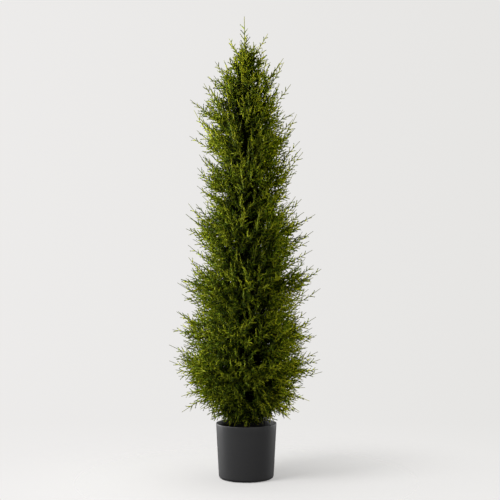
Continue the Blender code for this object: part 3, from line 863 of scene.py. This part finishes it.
def cones(root, tip, radius):
    """Three-sided cones from roots to tips."""
    corners = root[:, None] + radius * rings(unit(tip - root), 3)
    verts = np.concatenate([corners, tip[:, None]], axis=1).reshape(-1, 3)
    pattern = np.array([(0, 1, 3), (1, 2, 3), (2, 0, 3)])
    faces = (np.arange(len(root))[:, None, None] * 4 + pattern).reshape(-1, 3)
    return verts, faces


def tubes(centres, radii, sides):
    """Tubes through rows of centres (tube, station, xyz) with a radius at each station."""
    count, stations = centres.shape[:2]
    ring = rings(unit(np.gradient(centres, axis=1)), sides)
    verts = (centres[:, :, None] + radii[None, :, None, None] * ring).reshape(-1, 3)
    faces = np.arange(count)[:, None, None] * stations * sides + wall_faces(stations, sides)
    return verts, faces.reshape(-1, 3)


def rib_tubes(ribs, stretch, radii, steps):
    """Tubes along a stretch of every rib, with a radius at its start and one at its end."""
    return tubes(ribs.centres(stretch, steps), np.linspace(*radii, steps + 1), RIB_SIDES)


def needles(root, tip, rng):
    """Folded kite-shaped needles round carriers, swept forward in a spiral."""
    span = np.linalg.norm(tip - root, axis=1)
    counts = np.maximum(1, np.round(span / NEEDLE_STEP)).astype(int)
    carrier, k = shared_out(counts)
    share = (k + rng.uniform(*WIDE_STEP_JITTER, len(k))) / counts[carrier]
    ahead = unit(tip - root)[carrier]
    first, second = across_of(ahead)
    turn = np.radians(GOLDEN_TURN) * k + rng.uniform(0, 2 * math.pi, len(root))[carrier]
    outward = np.cos(turn)[:, None] * first + np.sin(turn)[:, None] * second
    angle = np.radians(rng.uniform(*NEEDLE_ANGLE, len(k)))[:, None]
    along_needle = np.cos(angle) * ahead + np.sin(angle) * outward
    wide = np.cross(ahead, outward)
    back = np.cross(wide, along_needle)
    length = rng.uniform(*NEEDLE_LENGTH, len(k))[:, None]
    foot = root[carrier] + share[:, None] * (tip - root)[carrier]
    return kites(foot, along_needle * length, wide * NEEDLE_WIDTH / 2, back)


def kites(foot, reach, half_width, back):
    """Kites from feet along their reaches, each folded along its middle."""
    fold = np.linalg.norm(half_width, axis=-1, keepdims=True) * NEEDLE_FOLD * 2
    belly = foot + NEEDLE_BELLY * reach + fold * back
    corners = np.stack([foot, belly + half_width, foot + reach, belly - half_width], 1)
    faces = np.arange(len(foot))[:, None, None] * 4 + np.array([(0, 1, 2), (0, 2, 3)])
    return corners.reshape(-1, 3), faces.reshape(-1, 3)


class Bundle:
    """Vertices and triangles that are gathered into one mesh."""

    def __init__(self):
        self.verts, self.faces, self.size = [], [], 0

    def add(self, shape):
        verts, faces = shape
        self.verts.append(verts)
        self.faces.append(faces + self.size)
        self.size += len(verts)

    def make(self, name, material, smooth=False):
        """The mesh object of all that was gathered."""
        shape = np.concatenate(self.verts), np.concatenate(self.faces)
        return add_piece(name, shape, material, smooth)


def add_piece(name, shape, material, smooth=False):
    """A mesh object from arrays of vertices and triangles."""
    verts, faces = shape
    mesh = bpy.data.meshes.new(name)
    mesh.vertices.add(len(verts))
    mesh.vertices.foreach_set("co", np.ascontiguousarray(verts, np.float32).ravel())
    mesh.loops.add(faces.size)
    mesh.loops.foreach_set("vertex_index", np.ascontiguousarray(faces, np.int32).ravel())
    mesh.polygons.add(len(faces))
    mesh.polygons.foreach_set("loop_start", np.arange(0, faces.size, 3, dtype=np.int32))
    mesh.update(calc_edges=True)
    mesh.materials.append(material)
    if smooth:
        mesh.shade_smooth()
    made = bpy.data.objects.new(name, mesh)
    bpy.context.scene.collection.objects.link(made)
    return made


# ---- materials ----
def set_inputs(tree, node, values):
    """Sets inputs of a node, each to a value or to what another node puts out."""
    for name, value in values.items():
        if isinstance(value, bpy.types.NodeSocket):
            tree.links.new(value, node.inputs[name])
        else:
            node.inputs[name].default_value = value
    return node


def add_node(tree, kind, values, **settings):
    """A new shader node with its inputs and settings."""
    node = tree.nodes.new(f"ShaderNode{kind}")
    for name, value in settings.items():
        setattr(node, name, value)
    return set_inputs(tree, node, values)


def ranged(tree, value, source, target, kind="LINEAR"):
    """A value mapped from one range on to another."""
    ends = {"From Min": source[0], "From Max": source[1], "To Min": target[0], "To Max": target[1]}
    node = add_node(tree, "MapRange", {"Value": value, **ends}, interpolation_type=kind)
    return node.outputs["Result"]


def two_colours(tree, value, colours, places=(0.0, 1.0)):
    """A blend from one colour to another, between two places of a value."""
    blend = add_node(tree, "ValToRGB", {"Fac": value})
    for end, colour, place in zip(blend.color_ramp.elements, colours, places):
        end.position = place
        end.color = (*colour, 1.0)
    return blend.outputs["Color"]


def mixed(tree, share, first, second, output):
    """Gives an output node a surface that is mixed from two shaders."""
    mix = add_node(tree, "MixShader", {"Fac": share, 1: first.outputs[0], 2: second.outputs[0]})
    set_inputs(tree, tree.nodes[output], {"Surface": mix.outputs["Shader"]})


def plain_finish(name, colour, roughness, shine):
    """A material of one colour."""
    material = bpy.data.materials.new(name)
    material.use_nodes = True
    shader = material.node_tree.nodes["Principled BSDF"]
    shader.inputs["Base Color"].default_value = (*colour, 1.0)
    shader.inputs["Roughness"].default_value = roughness
    shader.inputs["Specular IOR Level"].default_value = shine
    return material


def grained_finish(name, dark, light, scale, roughness, strength, stretch):
    """A finish whose colour wanders between two, with a fine grain in its relief."""
    material = plain_finish(name, light, roughness, GRAIN_SHINE)
    tree = material.node_tree
    place = add_node(tree, "TexCoord", {}).outputs["Object"]
    spread = add_node(tree, "Mapping", {"Vector": place, "Scale": stretch}).outputs["Vector"]
    grain = {"Vector": spread, "Scale": scale, "Detail": GRAIN_DETAIL}
    grain = add_node(tree, "TexNoise", grain).outputs["Fac"]
    colour = two_colours(tree, grain, (dark, light), GRAIN_MEETING)
    relief = {"Strength": strength, "Distance": GRAIN_DEPTH, "Height": grain}
    relief = add_node(tree, "Bump", relief).outputs["Normal"]
    set_inputs(tree, tree.nodes["Principled BSDF"], {"Base Color": colour, "Normal": relief})
    return material


# ---- foliage ----
def grow_crown():
    """Every leafy spray of the crown, by kind: forked ones and single ones."""
    forked = list(edge_sprays())
    for index, cell in enumerate(crown_cells()):
        seed = SEED + 31 * index
        forked += mass_sprays(cell, seed)
        forked += fronds(cell, seed + 1000)
        if cell.foot == TIERS[0][1]:
            forked += mouth_sprays(cell, seed + 3000)
    return forked, [*leader_sprays(), *leader_growth()]


def grow_side_shoots(forked):
    """The side shoots of all forked sprays."""
    rng = random.Random(SEED + 19)
    return [lateral for spray in forked for lateral in laterals(spray, rng)]


def stand_out(point):
    """How far a point stands out from the crown's outline. Near the top it counts as more, for
    painted light on the top.
    """
    rho, azimuth = round_pole(point)
    reach = rho - crown_radius(point.z, azimuth)
    return reach + TOP_PAINTED_LIGHT * max(0.0, point.z - TOP_PAINTED_LIGHT_FROM)


def deal_shades(sprays, seed):
    """The ribs of each shade's sprays: the further out a spray's tip stands, the lighter it is,
    give or take some chance. The darker shades inside are painted shade, and the lighter ones
    outside are painted light."""
    rng = random.Random(seed)
    ranked = sorted(sprays, key=lambda spray: stand_out(spray.tip) + rng.gauss(0.0, SHADE_CHANCE))
    dealt, share_so_far = {}, 0.0
    for shade, (_, share) in SHADES.items():
        first, share_so_far = share_so_far, share_so_far + share
        part = ranked[round(first * len(ranked)):round(share_so_far * len(ranked))]
        dealt[shade] = Ribs(part)
    return dealt


class Foliage:
    """Bundles of the crown's needles and shoots by shade, and of its tips and stems."""

    def __init__(self):
        self.needles = [Bundle() for shade in SHADES]
        self.shoots = [Bundle() for shade in SHADES]
        self.tips, self.stems, self.side_stems = Bundle(), Bundle(), Bundle()

    def add_twiglets(self, ribs, stretch, step, number, rng):
        """Twiglets with their needles on ribs of a shade, dealt out to the shades near it."""
        root, tip, share = twiglets(ribs, stretch, step, rng)
        shift = rng.choice(TWIGLET_SHIFTS, len(root), p=TWIGLET_SHIFT_SHARES)
        # Twiglets at a rib's foot go one shade darker as painted shade, and those at its end one
        # lighter as young growth and painted light.
        shift = shift - (share < PAINTED_SHADE_FOOT) + (share > PALE_LIT_END)
        dealt = np.clip(number + shift, 0, len(SHADES) - 1)
        for other in np.unique(dealt):
            here = dealt == other
            self.needles[other].add(needles(root[here], tip[here], rng))
            self.shoots[other].add(cones(root[here], tip[here], TWIGLET_RADIUS))

    def add_needles(self, ribs, stretch, number, rng):
        """Needles on the ribs themselves."""
        centres = ribs.centres(stretch, 2 * RIB_STEPS)
        root, tip = centres[:, :-1].reshape(-1, 3), centres[:, 1:].reshape(-1, 3)
        self.needles[number].add(needles(root, tip, rng))

    def add_ribs(self, ribs, stems, root_radius, form):
        """The wooden stems of ribs, to a bundle of stems, and their green tips."""
        tip_from, stem_steps, tip_steps = form
        radii = (root_radius, RIB_MIDDLE_RADIUS)
        stems.add(rib_tubes(ribs, (0.0, tip_from), radii, stem_steps))
        radii = (RIB_MIDDLE_RADIUS, RIB_END_RADIUS)
        self.tips.add(rib_tubes(ribs, (tip_from, 1.0), radii, tip_steps))

    def pieces(self):
        """The meshes of all that was gathered."""
        made = []
        for number, (shade, (colour, _)) in enumerate(SHADES.items()):
            finish = plain_finish(f"needles_{shade}", colour, *NEEDLE_FINISH)
            made.append(self.needles[number].make(f"needles_{shade}", finish))
            made.append(self.shoots[number].make(f"shoots_{shade}", finish))
        brown = plain_finish("stem_brown", *STEM_FINISH)
        green = plain_finish("tip_green", *TIP_FINISH)
        made.append(self.tips.make("shoot_tips", green, smooth=True))
        made.append(self.stems.make("twig_stems", brown, smooth=True))
        made.append(self.side_stems.make("side_stems", brown, smooth=True))
        return made


def dress_foliage():
    """Meshes of the whole crown: needles and shoots by shade, tips, stems, and filler growth whose
    near-black leaves are painted shade.
    """
    forked, single = grow_crown()
    fronds_dealt = deal_shades(forked, SEED + 17)
    singles_dealt = deal_shades(single, SEED + 16)
    shoots_dealt = deal_shades(grow_side_shoots(forked), SEED + 18)
    spike = Ribs([leader_spike()])
    crown = Foliage()
    for number, shade in enumerate(SHADES):
        rng = np.random.default_rng(SEED + number)
        ribs, side_ribs = fronds_dealt[shade], shoots_dealt[shade]
        single_ribs = singles_dealt[shade]
        crown.add_twiglets(ribs, TWIGLETS_ON_FROND, TWIGLET_STEP, number, rng)
        crown.add_twiglets(side_ribs, TWIGLETS_ON_LATERAL, TWIGLET_STEP, number, rng)
        crown.add_twiglets(single_ribs, TWIGLETS_ON_LEADER, TWIGLET_STEP, number, rng)
        if shade == SPIKE_SHADE:
            crown.add_twiglets(spike, SPIKE_STRETCH, SPIKE_STEP, number, rng)
        crown.add_needles(side_ribs, TWIGLETS_ON_LATERAL, number, rng)
        crown.add_ribs(ribs, crown.stems, RIB_ROOT_RADIUS, FROND_FORM)
        crown.add_ribs(single_ribs, crown.stems, RIB_ROOT_RADIUS, FROND_FORM)
        crown.add_ribs(side_ribs, crown.side_stems, RIB_MIDDLE_RADIUS, LATERAL_FORM)
    crown.tips.add(rib_tubes(spike, (0.0, 1.0), SPIKE_RADII, 2 * RIB_STEPS))
    # Filler sprays inside the crown. Their near-black leaves are painted shade.
    filler_ribs = Ribs(list(filler_sprays()))
    crown.stems.add(rib_tubes(filler_ribs, (0.0, 1.0), (RIB_ROOT_RADIUS, RIB_MIDDLE_RADIUS), RIB_STEPS))
    pieces = crown.pieces()
    finish = plain_finish("filler_painted_shade", *FILLER_SHADE_FINISH)
    return pieces + [add_piece("shaded_filler_leaves", shaded_filler_leaves(filler_ribs), finish)]


def shaded_filler_leaves(ribs):
    """Broad near-black leaves that fill the inside of the crown as painted shade."""
    rng = np.random.default_rng(SEED + 90)
    rib, k = shared_out(np.full(ribs.count, FILLER_LEAVES))
    foot = ribs.at(rib, (k + rng.uniform(0, 1, len(k))) / FILLER_LEAVES)
    ahead = unit(rng.normal(size=(len(k), 3)) + FILLER_LEAF_LIFT)
    wide, back = across_of(ahead)
    reach = ahead * rng.uniform(*FILLER_LEAF_LENGTH, len(k))[:, None]
    return kites(foot, reach, wide * FILLER_LEAF_WIDTH / 2, back)


# ---- pole, boughs and stems ----
def bark_ridges(run, turns):
    """Height of the bark at distances along a limb and turns round it, from -3 to 0."""
    run = run[:, None]
    coarse, fine = BARK_RIDGES
    coarse_change, fine_change = BARK_CHANGES
    knot, knots = BARK_KNOTS
    wander = sum(size * np.sin(run * wave + start) for size, wave, start in BARK_WANDER)
    ridges = np.sin(coarse * turns + wander)
    ridges = ridges * np.sin(run * coarse_change + knot * np.sin(knots * turns))
    ridges += BARK_FINE * np.sin(fine * turns - 2 * wander + run * fine_change)
    return ridges - (1 + BARK_FINE)


def bark_tube(centres, radii, sides, relief):
    """A closed limb through centres whose surface has ridges of bark."""
    centres, radii = np.array(centres), np.array(radii)
    run = np.cumsum(np.r_[0, np.linalg.norm(np.diff(centres, axis=0), axis=1)])
    turns = 2 * math.pi * np.arange(sides) / sides
    reach = radii[:, None] * (1 + relief * bark_ridges(run, turns))
    ring = rings(unit(np.gradient(centres, axis=0)), sides)
    verts = (centres[:, None] + reach[:, :, None] * ring).reshape(-1, 3)
    verts = np.concatenate([verts, centres[:1], centres[-1:]])
    return verts, closed_faces(len(centres), sides)


def cell_limb(cell, start, end, radii, form):
    """A limb along a cell's mid-line, between two distances from the pole."""
    count, sides, relief = form
    reaches = np.linspace(start, end, count)
    centres = [polar(rho, cell.azimuth, cell.middle(rho)) for rho in reaches]
    return bark_tube(centres, np.linspace(*radii, count), sides, relief)


def dress_limbs(bark):
    """The pole, the boughs and each mass's stem, with their bark."""
    count, sides, relief = POLE_FORM
    heights = np.linspace(FILL_LEVEL + GAP, TRUNK_TOP, count)
    centres = [trunk_axis(z) for z in heights]
    pole = bark_tube(centres, [trunk_radius(z) for z in heights], sides, relief)
    boughs, stems = Bundle(), Bundle()
    for cell in crown_cells():
        if cell.bough_end:
            start = trunk_radius(cell.middle(0.0)) + GAP
            radii = (BOUGH_RADIUS, BOUGH_TIP_RADIUS)
            boughs.add(cell_limb(cell, start, cell.bough_end, radii, BOUGH_FORM))
        end = STEM_SHARE * (cell.start() + cell.outer())
        radii = (STEM_RADIUS, RIB_ROOT_RADIUS)
        stems.add(cell_limb(cell, cell.start(), end, radii, STEM_FORM))
    return (
        add_piece("pole_bark", pole, bark, smooth=True),
        boughs.make("boughs_bark", bark, smooth=True),
        stems.make("mass_stems", bark, smooth=True),
    )


# ---- pot and filling ----
def pot_radius(z):
    """Outer radius of the pot's tapered wall at a height."""
    return POT_FOOT_RADIUS + (POT_RIM_RADIUS - POT_FOOT_RADIUS) * z / POT_HEIGHT


def arc(centre_radius, centre_z, radius, first, last, steps):
    """Points of a profile on an arc, between two angles in degrees."""
    turns = [math.radians(first + (last - first) * k / steps) for k in range(steps + 1)]
    return [(centre_radius + radius * math.cos(t), centre_z + radius * math.sin(t)) for t in turns]


def turned(profile, sides):
    """A turned solid from a profile that starts and ends on the axis."""
    cosine, sine = circle(sides)
    radii, heights = np.array(profile[1:-1]).T[:, :, None, None]
    wall = np.concatenate([radii * cosine, radii * sine, heights + 0 * sine], -1).reshape(-1, 3)
    ends = np.array([(0.0, 0.0, profile[0][1]), (0.0, 0.0, profile[-1][1])])
    return np.concatenate([wall, ends]), closed_faces(len(profile) - 2, sides)


def dress_pot():
    """The pot's finely turned shell, with a recess in its underside."""
    edge, lip = POT_EDGE_ROUNDING, POT_WALL / 2
    inner_foot = pot_radius(edge) - POT_WALL
    profile = [(0.0, RECESS_HEIGHT), (RECESS_RADIUS, RECESS_HEIGHT), (FOOT_RING_RADIUS, 0.0)]
    profile += arc(pot_radius(edge) - edge, edge, edge, -90, 0, POT_EDGE_STEPS)
    walls = np.linspace(edge, POT_HEIGHT - lip, POT_RINGS)[1:-1]
    profile += [(pot_radius(z), z) for z in walls]
    profile += arc(POT_RIM_RADIUS - lip, POT_HEIGHT - lip, lip, 0, 180, POT_EDGE_STEPS)
    profile += [(pot_radius(z) - POT_WALL, z) for z in walls[::-1]]
    profile += arc(inner_foot - edge / 2, POT_FLOOR + edge / 2, edge / 2, 0, -90, POT_FLOOR_STEPS)
    profile += [(0.0, POT_FLOOR)]
    finish = grained_finish("pot_plastic", *POT_FINISH)
    pot = add_piece("pot_shell", turned(profile, POT_SIDES), finish, smooth=True)
    pot.data.set_sharp_from_angle(angle=math.radians(SHARP_FROM))
    return pot


def dress_filling():
    """The filling, with a rough top. Its dark cement colour is near-black partly as painted shade
    in the pot's mouth.
    """
    rng = np.random.default_rng(SEED + 3)
    inset = POT_WALL + 2 * GAP
    top, top_radius = FILL_LEVEL - FILL_SINK, pot_radius(FILL_LEVEL) - inset
    low = POT_FLOOR + POT_EDGE_ROUNDING
    profile = [(0.0, POT_FLOOR + GAP), (pot_radius(0.0) - POT_EDGE_ROUNDING, POT_FLOOR + GAP)]
    profile += [(pot_radius(low) - inset, low)]
    profile += [(top_radius * (1 - k / FILL_RINGS), top) for k in range(FILL_RINGS)]
    profile += [(0.0, top)]
    verts, faces = turned(profile, FILL_SIDES)
    within = np.hypot(verts[:, 0], verts[:, 1]) < top_radius - FILL_SINK
    rough = (verts[:, 2] > top - FILL_SINK) & within
    verts[rough, 2] += rng.uniform(*FILL_BUMPS, rough.sum())
    finish = grained_finish("filling_cement_and_shade", *FILLING_FINISH)
    return add_piece("pot_filling", (verts, faces), finish)


# ---- stage ----
def add_lamps(lamps, receivers):
    """Square soft lights from a table, which light only some pieces."""
    made = []
    for name, (place, aim, size, power, colour) in lamps.items():
        light = bpy.data.lights.new(name, "AREA")
        light.size, light.energy, light.color = size, power, colour
        lamp = bpy.data.objects.new(name, light)
        lamp.location = place
        towards = Vector(aim) - Vector(place)
        lamp.rotation_euler = towards.to_track_quat("-Z", "Y").to_euler()
        bpy.context.scene.collection.objects.link(lamp)
        lit = bpy.data.collections.new(f"{name}_receivers")
        for piece in receivers:
            lit.objects.link(piece)
        lamp.light_linking.receiver_collection = lit
        made.append(lamp)
    return made


def make_world():
    """A pale backdrop that darkens a little to the right, brighter as a light from behind the
    plant than from in front."""
    world = bpy.data.worlds.new("studio")
    bpy.context.scene.world = world
    world.use_nodes = True
    tree = world.node_tree
    place = add_node(tree, "TexCoord", {}).outputs["Generated"]
    x, y, z = add_node(tree, "SeparateXYZ", {"Vector": place}).outputs
    shift = ranged(tree, z, NEAR_SLOPES, (0.0, NEAR_SHIFT))
    shifted = add_node(tree, "Math", {0: x, 1: shift}).outputs["Value"]
    across = ranged(tree, shifted, (-BACKDROP_WIDTH, BACKDROP_WIDTH), (0.0, 1.0))
    tint = two_colours(tree, across, (BACKDROP_LEFT, BACKDROP_RIGHT))
    near = ranged(tree, z, NEAR_SLOPES, (1.0, NEAR_GLOW))
    seen = set_inputs(tree, tree.nodes["Background"], {"Color": tint, "Strength": near})
    glow = ranged(tree, y, (-1.0, 1.0), WORLD_GLOW)
    lit = add_node(tree, "Background", {"Color": (*BACKDROP_LEFT, 1.0), "Strength": glow})
    in_view = add_node(tree, "LightPath", {}).outputs["Is Camera Ray"]
    mixed(tree, in_view, lit, seen, "World Output")


def floor_finish():
    """Pale paper that melts into the backdrop away from the pot. It throws less light back on
    the plant than it shows."""
    material = plain_finish("floor_paper", *FLOOR_FINISH)
    tree = material.node_tree
    place = add_node(tree, "TexCoord", {}).outputs["Object"]
    reach = add_node(tree, "VectorMath", {0: place}, operation="LENGTH").outputs["Value"]
    fade = ranged(tree, reach, FLOOR_FADE, (FLOOR_BLEND, 1.0), "SMOOTHSTEP")
    in_view = add_node(tree, "LightPath", {}).outputs["Is Camera Ray"]
    tint = two_colours(tree, in_view, (FLOOR_DIM, FLOOR_COLOUR))
    paper = set_inputs(tree, tree.nodes["Principled BSDF"], {"Base Color": tint})
    share = add_node(tree, "Math", {0: fade, 1: in_view}, operation="MULTIPLY").outputs["Value"]
    mixed(tree, share, paper, add_node(tree, "BsdfTransparent", {}), "Material Output")
    return material


def make_floor():
    """A wide disc of floor just under the pot."""
    bpy.ops.mesh.primitive_circle_add(vertices=FLOOR_SIDES, radius=FLOOR_RADIUS, fill_type="TRIFAN")
    floor = bpy.context.object
    floor.name = "floor"
    floor.location.z = -FLOOR_DROP
    floor.data.materials.append(floor_finish())
    return floor


def make_stage():
    """Camera, backdrop, and floor with its lights."""
    lens = bpy.data.cameras.new("camera")
    lens.lens, lens.sensor_width = CAMERA_LENS, CAMERA_SENSOR
    camera = bpy.data.objects.new("camera", lens)
    camera.location = CAMERA_PLACE
    camera.rotation_euler = (math.radians(90), 0.0, 0.0)
    bpy.context.scene.collection.objects.link(camera)
    bpy.context.scene.camera = camera
    bpy.context.scene.view_settings.view_transform = "Standard"
    make_world()
    add_lamps(FLOOR_LAMPS, [make_floor()])


def light_plant(foliage, limbs, pot):
    """A key light from the left and a weaker one from the front, two from behind that show up
    the thin leaves at the crown's edges without shining on them, and the pot's own lights."""
    add_lamps(PLANT_LAMPS, foliage + limbs)
    for lamp in add_lamps(EDGE_LAMPS, foliage):
        lamp.visible_glossy = False
    add_lamps(POT_LAMPS, pot)


def main():
    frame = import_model()
    make_stage()

    foliage_nodes = [name for name in frame["nodes"] if name.startswith("foliage_")]
    bough_nodes = [name for name in frame["nodes"] if name.startswith("bough_")]
    foliage = dress_foliage()
    for piece in foliage:
        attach(piece, "root")
        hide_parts(*foliage_nodes)

    pole, boughs, stems = dress_limbs(grained_finish("bark", *BARK_FINISH))
    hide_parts("trunk")
    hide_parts(*bough_nodes)
    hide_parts(*foliage_nodes)
    pot, filling = dress_pot(), dress_filling()
    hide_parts("pot")
    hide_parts("pot_fill")
    light_plant(foliage, [pole, boughs, stems], [pot, filling])
    slots = ((pole, "bark"), (boughs, "bark"), (stems, "bark"), (pot, "pot"), (filling, "filling"))
    for piece, slot in slots:
        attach(piece, "root")


main()
